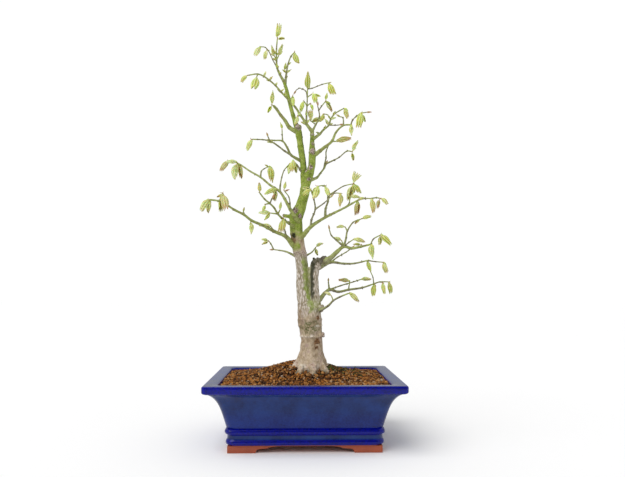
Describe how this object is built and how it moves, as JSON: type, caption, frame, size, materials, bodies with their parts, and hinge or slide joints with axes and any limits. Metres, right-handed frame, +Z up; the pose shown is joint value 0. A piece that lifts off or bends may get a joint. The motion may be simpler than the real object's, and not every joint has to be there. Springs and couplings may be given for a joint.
{
  "type": "potted maple bonsai",
  "caption": "Young-leaved Japanese maple bonsai with a forked trunk, growing in a rectangular blue-glazed pot on bracket feet.",
  "frame": {"origin": "on the ground under the middle of the pot", "axes": "+Z up the trunk, +X to the right along the pot's long side, -Y towards the front of the tree"},
  "size_m": [0.2685, 0.2, 0.5853],
  "materials": {
    "glazed_stoneware": "deep blue glaze, gloss, unglazed red clay under the base",
    "screen_plastic": "moulded, matt",
    "akadama": "baked clay grains, matt",
    "bark": "smooth young bark, green above and grey-brown below",
    "shoots": "green twigs with soft new leaves"
  },
  "bodies": {
    "root": {"pot": "glazed_stoneware", "drain_screen_left": "screen_plastic", "drain_screen_right": "screen_plastic", "soil": "akadama", "trunk": "bark", "branch_left_low": "shoots", "branch_left_long": "shoots", "branch_left_inner": "shoots", "branch_left_high": "shoots", "branch_left_tuft": "shoots", "branch_left_cut": "shoots", "branch_left_spur": "shoots", "branch_crossing": "shoots", "branch_right_spray": "shoots", "branch_right_upper": "shoots", "branch_right_high": "shoots", "branch_right_fork": "shoots", "branch_right_spur": "shoots", "branch_right_middle": "shoots", "branch_right_low": "shoots", "branch_right_lowest": "shoots", "branch_stump_upper": "shoots", "branch_stump_lower": "shoots", "shoot_apex_left": "shoots", "shoot_apex_right": "shoots"}
  },
  "joints": []
}
